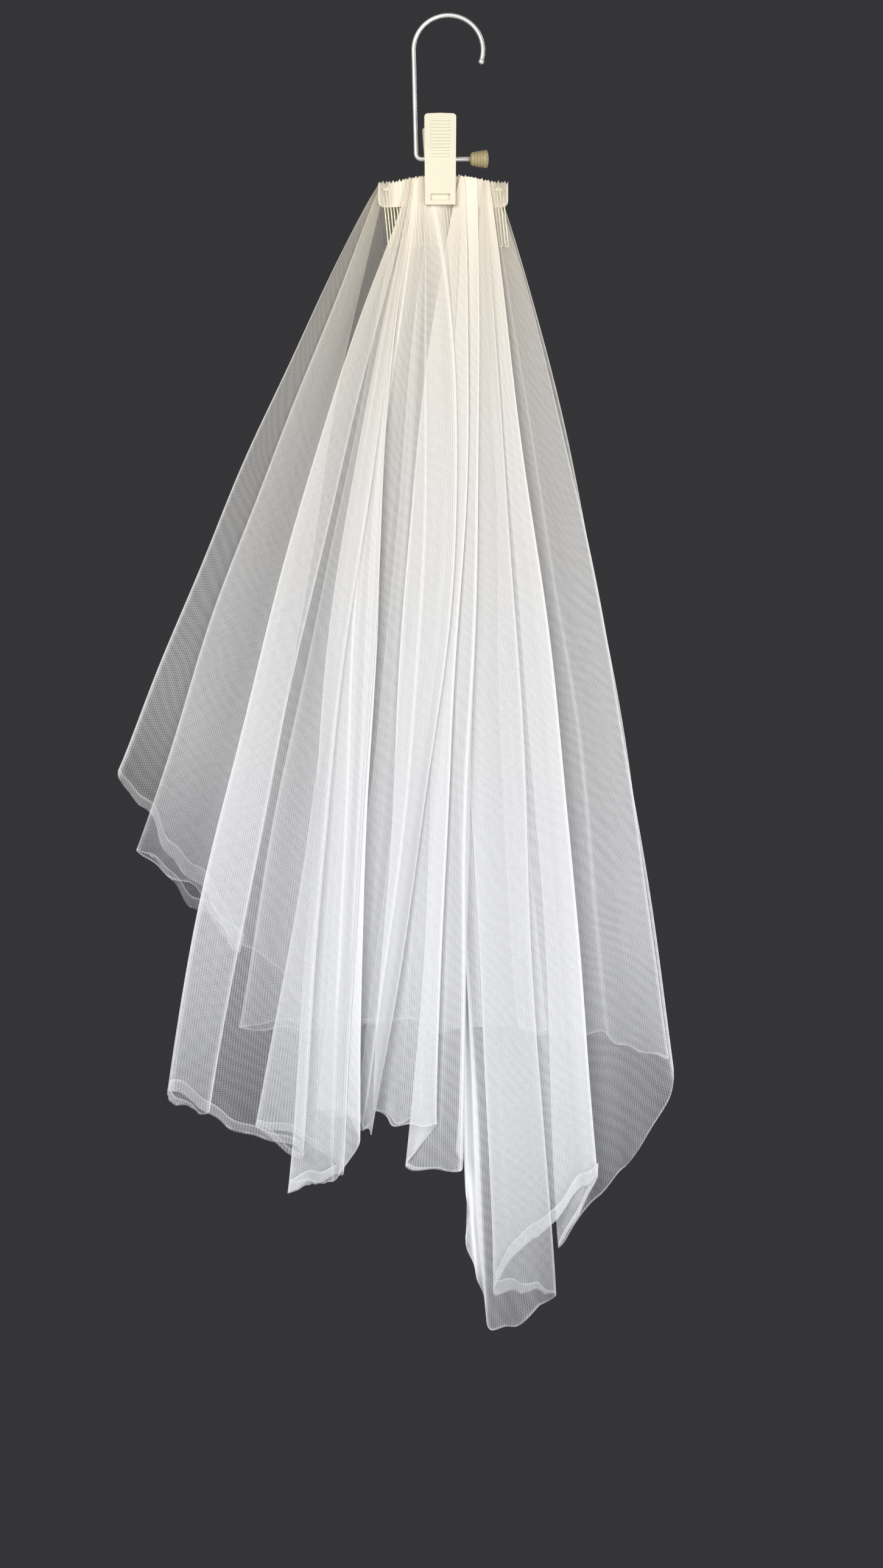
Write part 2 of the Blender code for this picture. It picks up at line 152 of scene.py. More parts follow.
# Studio: what the camera looks at, its sensor in millimetres, and the lamps as
# name, place, size and power.
MIDDLE = (-0.0044, 0.0, -0.5038)
SENSOR = 36.0
LAMPS = (("key", (-0.9, -2.3, 0.35), 1.5, 58.0), ("fill", (1.3, -2.0, -0.7), 1.5, 40.0),
         ("back", (0.6, 2.2, 0.5), 1.6, 30.0))
FLOOR_RINGS = ((1.50, -0.006), (1.50, -0.001), (1.49, 0.0), (0.01, 0.0))
FLOOR_COLOUR = (0.60, 0.59, 0.58)

# Fold lines, a row each, from left to right. at_header: share of the panel's
# width in the header. at_hem: share of its width at the hem. drop: share of the
# longest drop. depth: share of the fold depth, + to the outside. bow: sideways
# bulge at half height, in metres. full: how many layers of fine gathers lie
# there, beyond the folds that are modelled. curl: how much of the hem has
# turned up towards the front, in metres.
Fold = namedtuple("Fold", "at_header at_hem drop depth bow full curl")
# Where a panel hangs: left and right ends in the header and at the hem, the
# radius of its lower corners, and the share of the drop that hangs straight
# before the folds fan out.
Span = namedtuple("Span", "header_left header_right hem_left hem_right corner straight")

LEFT_SPAN = Span(-0.0400, -0.0084, -0.1820, -0.0476, 0.008, 0.05)
LEFT_FOLDS = (
    Fold(0.46, 0.190, 0.828, -0.5, -0.009, 1.0, 0.000),
    Fold(0.41, 0.000, 0.815, 0.1, -0.022, 1.1, 0.009),
    Fold(0.51, 0.652, 0.865, 0.8, -0.010, 0.8, 0.005),
    Fold(0.48, 0.420, 0.839, -0.9, -0.001, 1.2, 0.006),
    Fold(0.51, 0.863, 0.876, 0.7, -0.008, 1.2, 0.006),
    Fold(0.48, 0.586, 0.901, -0.7, -0.017, 2.1, 0.010),
    Fold(0.53, 0.786, 0.881, 0.4, -0.013, 1.4, 0.000),
    Fold(0.56, 0.938, 0.839, 0.8, -0.012, 2.2, 0.000),
    Fold(0.61, 0.711, 0.834, -0.9, -0.007, 1.8, 0.012),
    Fold(0.73, 0.949, 0.838, 0.2, 0.013, 1.4, 0.004),
    Fold(0.87, 0.979, 0.839, 0.9, 0.029, 1.8, 0.000),
    Fold(1.44, 0.905, 0.832, -0.9, 0.002, 0.5, 0.000),
)

RIGHT_SPAN = Span(0.0036, 0.0280, -0.0472, 0.1484, 0.018, 0.0)
RIGHT_FOLDS = (
    Fold(0.25, 0.151, 0.835, -0.5, -0.002, 1.6, 0.000),
    Fold(0.18, -0.012, 0.824, 0.0, -0.010, 1.6, 0.000),
    Fold(0.28, 0.192, 0.835, 0.7, 0.006, 1.9, 0.000),
    Fold(0.21, 0.102, 0.874, -0.5, 0.003, 2.5, 0.004),
    Fold(0.62, 0.284, 0.869, 0.8, 0.002, 2.2, 0.000),
    Fold(0.59, 0.278, 0.856, -1.0, 0.001, 1.4, 0.000),
    Fold(0.70, 0.368, 1.002, -0.4, -0.016, 1.5, 0.000),
    Fold(0.89, 0.601, 0.976, 0.8, -0.002, 0.8, 0.002),
    Fold(0.84, 0.401, 0.985, -0.9, -0.013, 1.3, 0.012),
    Fold(0.95, 0.738, 0.886, 1.0, 0.004, 1.9, 0.010),
    Fold(0.92, 0.607, 0.942, -0.7, 0.003, 0.9, 0.004),
    Fold(1.00, 1.000, 0.805, -0.2, 0.015, 0.8, 0.000),
)

BACK_SPAN = Span(-0.0456, 0.0304, -0.2216, 0.1472, 0.006, 0.0)
BACK_FOLDS = (
    Fold(0.00, 0.000, 0.531, -0.2, -0.008, 0.8, 0.005),
    Fold(0.06, 0.219, 0.701, 0.8, -0.004, 0.4, 0.014),
    Fold(0.02, 0.046, 0.587, -0.8, -0.005, 0.5, 0.000),
    Fold(0.21, 0.367, 0.750, 0.7, -0.004, 0.6, 0.004),
    Fold(0.24, 0.228, 0.749, -0.7, -0.004, 0.7, 0.000),
    Fold(0.41, 0.497, 0.752, 0.8, 0.000, 0.9, 0.000),
    Fold(0.47, 0.410, 0.753, -0.8, 0.000, 1.1, 0.004),
    Fold(0.63, 0.659, 0.755, 0.8, 0.000, 1.3, 0.000),
    Fold(0.68, 0.562, 0.755, -0.8, 0.000, 1.1, 0.000),
    Fold(0.82, 0.779, 0.756, 0.8, 0.000, 0.8, 0.003),
    Fold(0.86, 0.725, 0.756, -0.6, 0.000, 0.8, 0.000),
    Fold(0.94, 0.887, 0.758, 0.1, 0.008, 0.8, 0.000),
    Fold(1.00, 1.000, 0.789, 0.0, 0.016, 0.8, 0.003),
)


class TulleSettings(bpy.types.PropertyGroup):
    """Sizes and colours of the net."""
    drop: FloatProperty(name="Longest drop", default=0.744, unit="LENGTH",
                        description="From the header down to the lowest corner")
    fold_depth: FloatProperty(name="Fold depth", default=0.012, unit="LENGTH",
                              description="Depth of the main folds at the hem")
    front_swell: FloatProperty(name="Front swell", default=0.026, unit="LENGTH",
                               description="How far the front tier stands off at the hem")
    back_swell: FloatProperty(name="Back swell", default=0.020, unit="LENGTH",
                              description="How far the back tier stands off at the hem")
    ripple: FloatProperty(name="Ripple", default=0.0008, unit="LENGTH",
                          description="Depth of the fine gathers between the main folds")
    mesh_size: FloatProperty(name="Net mesh", default=0.0012, unit="LENGTH",
                             description="Width of one cell of the hexagonal net")
    thread_cover: FloatProperty(name="Thread cover", default=0.235, subtype="FACTOR",
                                description="Share of one flat layer that thread covers")
    white: FloatVectorProperty(name="Net colour", size=3, subtype="COLOR",
                               default=(0.835, 0.845, 0.875), description="Cool white of the net")
    ivory: FloatVectorProperty(name="Header colour", size=3, subtype="COLOR",
                               default=(0.84, 0.765, 0.625), description="Warm tone near the comb")
    rows: IntProperty(name="Rows", default=110, description="Rows from header to hem")
    steps: IntProperty(name="Steps", default=40, description="Columns from one fold to the next")


class HangerSettings(bpy.types.PropertyGroup):
    """Sizes and colours of the clip hanger."""
    wire_radius: FloatProperty(name="Wire radius", default=0.0014, unit="LENGTH",
                               description="Radius of the hanger's wire")
    hook_radius: FloatProperty(name="Hook radius", default=0.0228, unit="LENGTH",
                               description="Radius of the hook's centreline")
    bar_down: FloatProperty(name="Bar height", default=0.0932, unit="LENGTH",
                            description="Level bar, below the hook's inside top")
    steel: FloatVectorProperty(name="Steel", size=3, subtype="COLOR",
                               default=(0.80, 0.79, 0.75), description="Polished wire")
    rubber: FloatVectorProperty(name="Rubber", size=3, subtype="COLOR",
                                default=(0.42, 0.34, 0.17), description="Amber rubber tip")
    plastic: FloatVectorProperty(name="Plastic", size=3, subtype="COLOR",
                                 default=(0.71, 0.67, 0.51), description="Cream plastic jaws")


class CombSettings(bpy.types.PropertyGroup):
    """Sizes and colour of the wire comb."""
    middle: FloatProperty(name="Middle", default=-0.0036, unit="LENGTH",
                          description="Middle of comb and header")
    half_width: FloatProperty(name="Half width", default=0.0405, unit="LENGTH",
                              description="Half the spine's length")
    bow: FloatProperty(name="Bow", default=0.004, unit="LENGTH",
                       description="How far the ends curve back")
    spine_down: FloatProperty(name="Spine height", default=0.1125, unit="LENGTH",
                              description="Spine, below the origin")
    tip_down: FloatProperty(name="Teeth end", default=0.1507, unit="LENGTH",
                            description="Lower end of the teeth, below the origin")
    teeth: IntProperty(name="Teeth", default=20, description="Number of U-shaped teeth")
    gilt: FloatVectorProperty(name="Gilt", size=3, subtype="COLOR",
                              default=(0.85, 0.76, 0.52), description="Bright gilt wire")


class StudioSettings(bpy.types.PropertyGroup):
    """Camera, backdrop and lamps."""
    distance: FloatProperty(name="Camera distance", default=2.0, unit="LENGTH",
                            description="From the camera to the veil")
    frame_height: FloatProperty(name="Frame height", default=1.0304, unit="LENGTH",
                                description="What the picture's height covers at the veil")
    backdrop: FloatVectorProperty(name="Backdrop", size=3, subtype="COLOR",
                                  default=(0.036, 0.036, 0.039), description="Dark backdrop")
    floor_down: FloatProperty(name="Floor height", default=1.45, unit="LENGTH",
                              description="Floor, below the origin")


def soft_line(distance, width):
    """1 on a line and fading to 0 beside it: exp of -(distance / width) squared."""
    return np.exp(-((distance / width) ** 2))


def rounded_corner(away, radius):
    """How far a quarter circle lifts an edge, by the distance from its corner."""
    return radius - np.sqrt(radius**2 - np.clip(radius - away, 0, radius) ** 2)


def spread(values, rows):
    """One value for each line, repeated down its rows."""
    return np.asarray(values)[:, None] * np.ones((1, rows))


def lengths(points, axis):
    """Distance from each point to the next along an axis."""
    return np.linalg.norm(np.diff(points, axis=axis), axis=-1)


def flow(lines, steps):
    """A smooth curve through the fold lines at every level, as whole arrays.

    Between two lines each point is the cubic that leaves the first and meets the
    second along the direction of their neighbours, eased.
    """
    before = np.concatenate([lines[:1], lines[:-2]])[:, None]
    here = lines[:-1, None]
    after = lines[1:, None]
    beyond = np.concatenate([lines[2:], lines[-1:]])[:, None]
    t = (np.arange(steps) / steps)[None, :, None, None]
    body = ((2 * t**3 - 3 * t**2 + 1) * here + (t**3 - 2 * t**2 + t) * (after - before) * EASE
            + (3 * t**2 - 2 * t**3) * after + (t**3 - t**2) * (beyond - here) * EASE)
    grid = body.reshape(-1, *lines.shape[1:])
    return np.concatenate([grid, lines[-1:]])


def header_top(x):
    """Height of the gathered edge: level at the ends and humped at the clip."""
    away = np.abs(x - HUMP_MIDDLE) / HUMP_HALF
    return GATHERED_EDGE + HUMP_HEIGHT * np.maximum(0.0, 1.0 - away**HUMP_POWER)


def header_back(x, comb):
    """How far the header's curve stands back at x: a parabola over the comb."""
    return comb.bow * ((x - comb.middle) / comb.half_width) ** 2


def shares(rows):
    """Share of the drop at each row, with rows closest at the header and the hem."""
    u = np.linspace(0, 1, rows)
    return u - ROW_CROWDING * np.sin(TAU * u) / TAU


def fold_lines(folds, span, side, swell, tulle, comb, seed):
    """Each fold line as points from header to hem, as arrays.

    Across, a line runs straight from its place in the header to its place at the
    hem, plus a bulge of BULGE times s to the BULGE_POWER times (1 - s) and two
    sways, where s is the share of the drop, held back while the gathers hang
    straight. Outward, it swells with the free drop below the band, and folds
    alternate about that.
    """
    at_header, at_hem, drop, fold, bow = np.array(folds).T[:5]
    rows = tulle.rows
    s = shares(rows)
    rng = np.random.default_rng(seed)
    top_x = spread(span.header_left + (span.header_right - span.header_left) * at_header, rows)
    hem_x = spread(span.hem_left + (span.hem_right - span.hem_left) * at_hem, rows)
    fan = s - span.straight * (1 - np.exp(-s / max(span.straight, 1e-6))) * (1 - s)
    bulge = BULGE * fan**BULGE_POWER * (1 - fan)
    x = top_x + (hem_x - top_x) * fan + spread(bow, rows) * bulge
    wobble = rng.uniform(0, PHASES, (len(folds), 2))
    inner = (np.arange(len(folds)) % (len(folds) - 1) > 0)[:, None]
    sway = (FINE_SWAY * np.sin(FINE_TURN * s + wobble[:, 1:])
            + INNER_SWAY * inner * np.sin(INNER_TURN * s + wobble[:, :1]))
    x += sway * s * (1 - s) * 4
    z = header_top(top_x) - EDGE_INSET - tulle.drop * spread(drop, rows) * s
    free = np.maximum(0.0, -z - CASING_END) / tulle.drop
    depth = LEAST_DEPTH + tulle.fold_depth * free**0.8
    out = (TIER_OFF + swell * free**0.9 + spread(fold, rows) * depth
           + (depth - LEAST_DEPTH) * 0.6)
    held = np.clip(x, CASING_LEFT, CASING_RIGHT)
    bend = header_back(held, comb) * (1 - np.minimum(1.0, free * 3))
    return np.stack([x, side * out + bend, z], axis=2)


def panel(folds, span, side, swell, tulle, comb, seed, gathers):
    """A gathered net panel.

    It returns the points, the cloth's own coordinates in metres, and how much
    of the view thread covers there: 1 - (1 - flat cover) ** packed.
    """
    grid = flow(fold_lines(folds, span, side, swell, tulle, comb, seed), tulle.steps)
    s = shares(tulle.rows)[None]
    level = int(np.searchsorted(s[0], MEASURED_AT))
    across = np.concatenate([[0.0], np.cumsum(lengths(grid[:, level], 0))])
    rng = np.random.default_rng(seed + 7)
    add_gathers(grid, across / across[-1], s, gathers, tulle, rng)
    full, curl = column_values(folds, tulle.steps, tulle.rows)
    grid = raw_hem(grid, across, s, curl, span.corner, rng)
    down = np.cumsum(np.pad(lengths(grid, 1), ((0, 0), (1, 0))), axis=1)
    creases = across[np.arange(1, len(folds) - 1) * tulle.steps]
    packed = packing(grid, across, down, s, full, creases, rng)
    return grid, across, down, 1 - (1 - tulle.thread_cover) ** packed


def add_gathers(grid, share, s, gathers, tulle, rng):
    """Pushes the net in and out by three waves across it that drift on the way down.

    Inside the header they are shallow, and lift and lower the net instead.
    """
    free = np.clip((-grid[..., 2] - NET_START) / 0.03, 0, 1)
    wave = np.zeros(grid.shape[:2])
    for turns, size in GATHER_WAVES:
        drift = rng.uniform(-GATHER_DRIFT, GATHER_DRIFT, 2)
        phase = rng.uniform(0, PHASES)
        swing = drift[0] * np.sin(3 * s + drift[1]) + phase
        wave += size * np.sin(GATHER_TURN * (gathers * turns) * share[:, None] + swing)
    quiet = 0.35 + 0.65 * np.clip(s * 6, 0, 1)
    grid[..., 1] += wave * (HEADER_RIPPLE + (tulle.ripple * quiet - HEADER_RIPPLE) * free)
    grid[..., 2] += wave * HEADER_RISE * (1 - free)


def packing(grid, across, down, s, full, creases, rng):
    """How many layers of flat net cover the view as much as the panel does.

    The cloth's area over the area it shows from the front, times the layers of
    fine gathers, which grow towards the header. Creases, thin lines, the side
    edges and the hem each add a soft line.
    """
    du = np.gradient(grid, axis=0)
    dv = np.gradient(grid, axis=1)
    seen = np.abs(np.cross(du, dv)[..., 1])
    turned = np.linalg.norm(du, axis=2) * np.linalg.norm(dv, axis=2) / np.maximum(seen, 1e-9)
    near_hem = np.clip((s - THIN_FROM) / (1 - THIN_FROM), 0, 1)
    full = full * (1 - THINNING * near_hem**THIN_POWER)
    below = np.maximum(0.0, -grid[..., 2] - NET_START)
    gathered = 1 + GATHER_GAIN * full * np.exp(-below / GATHER_REACH)
    header = (HEADER_GAIN * np.maximum(0.0, full - HEADER_FROM) ** HEADER_POWER
              * np.exp(-below / HEADER_REACH))
    packed = np.minimum(full * gathered * turned + header, MOST_LAYERS)
    edge = np.minimum(across, across[-1] - across)[:, None]
    packed = packed + EDGE_GAIN * soft_line(edge, EDGE_WIDTH)
    ridge = soft_line(across[:, None] - creases, CREASE_WIDTH).sum(axis=1)[:, None]
    thin = fine_creases(across, s, 2 * len(creases) + 4, rng)
    fine = np.maximum(0.0, full - FINE_FROM) * thin
    packed = packed + CREASE_GAIN * ridge * full + FINE_GAIN * fine
    return packed + HEM_GAIN * soft_line(down[:, -1:] - down, HEM_WIDTH)


def fine_creases(across, s, count, rng):
    """Thin lines down the cloth, each strongest at its own height, from 0 to 1."""
    lines = np.zeros((len(across), s.shape[1]))
    for start, turn, height, tall in rng.uniform(0, 1, (count, 4)):
        middle = across[-1] * (start + 0.02 * (turn - 0.5) * s)
        strength = soft_line(s - height, 0.15 + 0.35 * tall)
        lines += strength * soft_line(across[:, None] - middle, FINE_WIDTH)
    return lines


def column_values(folds, steps, rows):
    """The table's fullness and curl, carried smoothly from fold to fold."""
    values = np.array([(fold.full, fold.curl) for fold in folds])
    smooth = flow(values[:, None] * np.ones((1, rows, 1)), steps)
    return smooth[..., 0], np.maximum(smooth[:, :1, 1], 0.0)


def raw_hem(grid, across, s, curl, corner, rng):
    """Waves the raw edge, and folds its last stretch up towards the front.

    The waves die out upwards. The corners are rounded with a quarter circle. A
    point closer to the hem than the curl is mirrored about the curl's line and
    leans forward.
    """
    phases = rng.uniform(0, PHASES, 4).reshape(2, 2)
    turn = TAU * across[:, None]
    near = np.exp(-(1 - s) / HEM_REACH)
    wave, other = [near * (np.sin(turn / long + first) + size * np.sin(turn / short + second))
                   for (long, short, size), (first, second) in zip(HEM_WAVES, phases)]
    sink = HEM_DOWN[0] * other + HEM_DOWN[1] * wave
    grid = grid + np.stack([HEM_SIDEWAYS * other, HEM_OUT * wave, sink], axis=2)
    up = grid[:, -12:-11] - grid[:, -1:]
    up = up / np.linalg.norm(up, axis=2, keepdims=True)
    lift = rounded_corner(np.minimum(across, across[-1] - across), corner)
    grid = grid + up * (lift[:, None] * s**14)[..., None]
    away = np.linalg.norm(grid - grid[:, -1:], axis=2)
    over = np.maximum(0.0, curl - away)[..., None]
    return grid + over * (2 * up + np.array(CURL_LEAN))


def net_mesh(name, grid, across, down, cover):
    """Puts a panel's arrays into an open mesh with a map and its attributes."""
    cols, rows = grid.shape[:2]
    index = np.arange(cols * rows).reshape(cols, rows)
    faces = np.stack([index[:-1, :-1], index[:-1, 1:], index[1:, 1:], index[1:, :-1]], axis=2)
    mesh = bpy.data.meshes.new(name)
    mesh.from_pydata(grid.reshape(-1, 3), [], faces.reshape(-1, 4))
    corner = faces.reshape(-1)
    uv = mesh.uv_layers.new(name="cloth")
    flat = np.stack([np.broadcast_to(across[:, None], (cols, rows)), -down], axis=2)
    uv.data.foreach_set("uv", flat.reshape(-1, 2)[corner].astype(np.float32).ravel())
    below = np.maximum(0.0, -grid[..., 2] - WARM_FROM)
    add_attribute(mesh, "cover", cover)
    add_attribute(mesh, "warmth", np.exp(-below / WARM_REACH))
    mesh.polygons.foreach_set("use_smooth", np.ones(len(mesh.polygons), bool))
    mesh.update()
    return place(name, mesh)


def add_attribute(mesh, name, values):
    """Stores one value a point in the mesh, for its material."""
    layer = mesh.attributes.new(name, "FLOAT", "POINT")
    layer.data.foreach_set("value", np.ascontiguousarray(values, np.float32).ravel())


def place(name, mesh):
    """An object for a mesh, at the origin of the scene."""
    made = bpy.data.objects.new(name, mesh)
    bpy.context.scene.collection.objects.link(made)
    return made


def finish_piece(piece, material, slot, *nodes):
    """Gives a piece its material and its body, and hides the solids it stands for. The slot is not
    used.
    """
    piece.data.materials.clear()
    piece.data.materials.append(material)
    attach(piece, "root")
    if nodes:
        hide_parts(*nodes)
    return piece


def shader_of(name):
    """A new material, with its nodes, its links and its main shader."""
    material = bpy.data.materials.new(name)
    material.use_nodes = True
    nodes = material.node_tree.nodes
    return material, nodes, material.node_tree.links, nodes["Principled BSDF"]


def set_inputs(node, values):
    """Sets values on a node's sockets by their names."""
    for name, value in values.items():
        node.inputs[name].default_value = value


def math_node(nodes, links, operation, first, second):
    """One step of arithmetic on sockets or numbers. None leaves a socket alone."""
    node = nodes.new("ShaderNodeMath")
    node.operation = operation
    for socket, value in zip(node.inputs, (first, second)):
        if isinstance(value, (int, float)):
            socket.default_value = value
        elif value is not None:
            links.new(value, socket)
    return node.outputs[0]


def remap(nodes, links, value, low, high, start=0.0, end=1.0):
    """Carries a value that runs from start to end over to low to high."""
    node = nodes.new("ShaderNodeMapRange")
    set_inputs(node, {"From Min": start, "From Max": end, "To Min": low, "To Max": high})
    links.new(value, node.inputs["Value"])
    return node.outputs[0]


def stored(nodes, name):
    """A value that the mesh carries on its points."""
    node = nodes.new("ShaderNodeAttribute")
    node.attribute_name = name
    return node.outputs["Fac"]


def tint(nodes, links, shader, factor, first, second):
    """Colours a shader from the first to the second colour, by a factor."""
    tone = nodes.new("ShaderNodeMix")
    tone.data_type = "RGBA"
    set_inputs(tone, {"A": (*first, 1.0), "B": (*second, 1.0)})
    links.new(factor, tone.inputs["Factor"])
    links.new(tone.outputs["Result"], shader.inputs["Base Color"])


def net_material(name, tulle):
    """Hexagonal net: thread where the sum of three waves, 60 degrees apart, is low.

    Wavering bands across the cloth make its shimmer: a little more and less cover.
    The pattern swings the cover c by c times (1 - c), so packed net stays packed.
    """
    found = bpy.data.materials.get(name)
    if found:
        return found
    material, nodes, links, shader = shader_of(name)
    uv = nodes.new("ShaderNodeUVMap")
    uv.uv_map = "cloth"
    waves = []
    pitch = TAU / (tulle.mesh_size * PITCH_SHARE)
    for turn in (0.0, TAU / 6, TAU / 3):
        dot = nodes.new("ShaderNodeVectorMath")
        dot.operation = "DOT_PRODUCT"
        dot.inputs[1].default_value = (pitch * np.cos(turn), pitch * np.sin(turn), 0.0)
        links.new(uv.outputs[0], dot.inputs[0])
        waves.append(math_node(nodes, links, "COSINE", dot.outputs["Value"], None))
    total = math_node(nodes, links, "ADD", waves[0], waves[1])
    total = math_node(nodes, links, "ADD", total, waves[2])
    thread = remap(nodes, links, total, HOLE_COVER, THREAD_COVER, HOLE_SUM, THREAD_SUM)
    shimmer = nodes.new("ShaderNodeTexWave")
    shimmer.bands_direction = "DIAGONAL"
    set_inputs(shimmer, SHIMMER_BANDS)
    links.new(uv.outputs[0], shimmer.inputs["Vector"])
    uneven = remap(nodes, links, shimmer.outputs["Fac"], -SHIMMER, SHIMMER)
    pattern = math_node(nodes, links, "ADD", thread, uneven)
    cover = stored(nodes, "cover")
    open_part = math_node(nodes, links, "SUBTRACT", 1.0, cover)
    swing = math_node(nodes, links, "MULTIPLY", open_part, cover)
    swing = math_node(nodes, links, "MULTIPLY", swing, pattern)
    links.new(math_node(nodes, links, "ADD", cover, swing), shader.inputs["Alpha"])
    tint(nodes, links, shader, stored(nodes, "warmth"), tulle.white, tulle.ivory)
    set_inputs(shader, {"Roughness": 0.8, "Specular IOR Level": 0.2})
    return material


def mottled(name, colour, roughness, metallic, scale, change, bump):
    """A surface with fine uneven tone, gloss and relief from one noise."""
    material, nodes, links, shader = shader_of(name)
    place_at = nodes.new("ShaderNodeTexCoord")
    noise = nodes.new("ShaderNodeTexNoise")
    set_inputs(noise, {"Scale": scale, "Detail": 4.0})
    links.new(place_at.outputs["Object"], noise.inputs["Vector"])
    uneven = noise.outputs["Fac"]
    gloss = remap(nodes, links, uneven, roughness * 0.75, roughness * 1.35)
    links.new(gloss, shader.inputs["Roughness"])
    tint(nodes, links, shader, uneven, [c * (1 - change) for c in colour], colour)
    set_inputs(shader, {"Metallic": metallic})
    relief = nodes.new("ShaderNodeBump")
    set_inputs(relief, {"Strength": bump, "Distance": 0.0003})
    links.new(uneven, relief.inputs["Height"])
    links.new(relief.outputs[0], shader.inputs["Normal"])
    return material


def tube(name, path, radii, sides):
    """A round wire: rings of points round a path, square to it and to +Y."""
    path = np.asarray(path, float)
    along = np.gradient(path, axis=0)
    along /= np.linalg.norm(along, axis=1, keepdims=True)
    across = np.array([[0.0, 1.0, 0.0]]) - along * along[:, 1:2]
    across /= np.linalg.norm(across, axis=1, keepdims=True)
    other = np.cross(along, across)
    turn = (np.arange(sides) * (TAU / sides))[None, :, None]
    ring = np.cos(turn) * across[:, None] + np.sin(turn) * other[:, None]
    return skin(name, path[:, None] + np.asarray(radii, float)[:, None, None] * ring)


def skin(name, rings):
    """A closed mesh over equal rings, with a flat face at each end, facing out."""
    count, sides = rings.shape[:2]
    index = np.arange(count * sides).reshape(count, sides)
    following = np.roll(index, -1, axis=1)
    faces = np.stack([index[:-1], following[:-1], following[1:], index[1:]], axis=2)
    faces = faces.reshape(-1, 4).tolist()
    faces.append(index[0, ::-1].tolist())
    faces.append(index[-1].tolist())
    mesh = bpy.data.meshes.new(name)
    mesh.from_pydata(rings.reshape(-1, 3), [], faces)
    shape = bmesh.new()
    shape.from_mesh(mesh)
    bmesh.ops.recalc_face_normals(shape, faces=shape.faces)
    for face in shape.faces:
        face.smooth = len(face.verts) == 4
    shape.to_mesh(mesh)
    shape.free()
    return place(name, mesh)


class VEIL_OT_hanger(bpy.types.Operator):
    """Build the hanger's polished wire and its rubber tip"""
    bl_idname = "veil.hanger"
    bl_label = "Hanger wire and tip"

    def execute(self, context):
        hanger = context.scene.veil_hanger
        steel = mottled("polished steel", hanger.steel, 0.32, 0.50, 60.0, 0.08, 0.01)
        rubber = mottled("amber rubber", hanger.rubber, 0.45, 0.0, 900.0, 0.30, 0.25)
        radius = hanger.hook_radius
        turn = np.radians(np.linspace(HOOK_START, HOOK_END, 60))
        hook = np.stack([radius * np.cos(turn), 0 * turn,
                         hanger.wire_radius - radius + radius * np.sin(turn)], axis=1)
        turn = np.linspace(np.pi, 1.5 * np.pi, 14)
        bend = np.stack([SHANK_FOOT + BEND_RADIUS * (1 + np.cos(turn)), 0 * turn,
                         -hanger.bar_down + BEND_RADIUS * (1 + np.sin(turn))], axis=1)
        along = hook[0] - hook[1]
        along /= np.linalg.norm(along)
        ball = hook[0] + along * hanger.wire_radius * np.array(BALL_STEPS)[:, None]
        end = [[TIP_START + BAR_INTO_TIP, 0.0, -hanger.bar_down]]
        path = np.concatenate([ball, hook, bend, end])
        plain = np.ones(len(path) - len(BALL_RADII))
        radii = np.concatenate([BALL_RADII, plain]) * hanger.wire_radius
        wire = tube("hanger_wire", path, radii, 20)
        finish_piece(wire, steel, "polished_steel", "hanger_hook")
        finish_piece(rubber_tip(hanger), rubber, "amber_rubber", "bar_tip")
        return {"FINISHED"}


def rubber_tip(hanger):
    """A turned tip about the bar: a flared neck, five soft ribs and a domed end."""
    s = np.linspace(0, 1, 60)
    rib = TIP_RIB * np.sin(s * TIP_RIB_TURN) * (s > 0.12) * (s < 0.9)
    body = np.stack([TIP_BODY_START + TIP_BODY_LENGTH * s,
                     TIP_RADIUS + TIP_FLARE * s + rib], axis=1)
    profile = np.concatenate([TIP_NECK, body, TIP_DOME])
    turn = np.linspace(0, TAU, 48, endpoint=False)[None]
    rings = np.stack([TIP_START + profile[:, :1] + 0 * turn, profile[:, 1:] * np.cos(turn),
                      -hanger.bar_down + profile[:, 1:] * np.sin(turn)], axis=2)
    return skin("rubber_tip", rings)


class VEIL_OT_clip(bpy.types.Operator):
    """Round the edges of the two plastic jaws and give them their finish"""
    bl_idname = "veil.clip"
    bl_label = "Clip jaws"

    def execute(self, context):
        hanger = context.scene.veil_hanger
        plastic = mottled("cream plastic", hanger.plastic, 0.30, 0.0, 260.0, 0.05, 0.06)
        for node in ("clip_front_jaw", "clip_back_jaw"):
            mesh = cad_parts[node].data.copy()
            shape = bmesh.new()
            shape.from_mesh(mesh)
            bmesh.ops.remove_doubles(shape, verts=shape.verts, dist=0.00001)
            bmesh.ops.dissolve_limit(shape, angle_limit=0.01, verts=shape.verts, edges=shape.edges)
            shape.to_mesh(mesh)
            shape.free()
            jaw = place(node.replace("clip_", "moulded_"), mesh)
            jaw.matrix_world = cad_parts[node].matrix_world
            round_off = jaw.modifiers.new("round edges", "BEVEL")
            round_off.width = JAW_ROUNDING
            round_off.segments = 3
            round_off.limit_method = "ANGLE"
            round_off.harden_normals = True
            finish_piece(jaw, plastic, "cream_plastic", node)
        return {"FINISHED"}


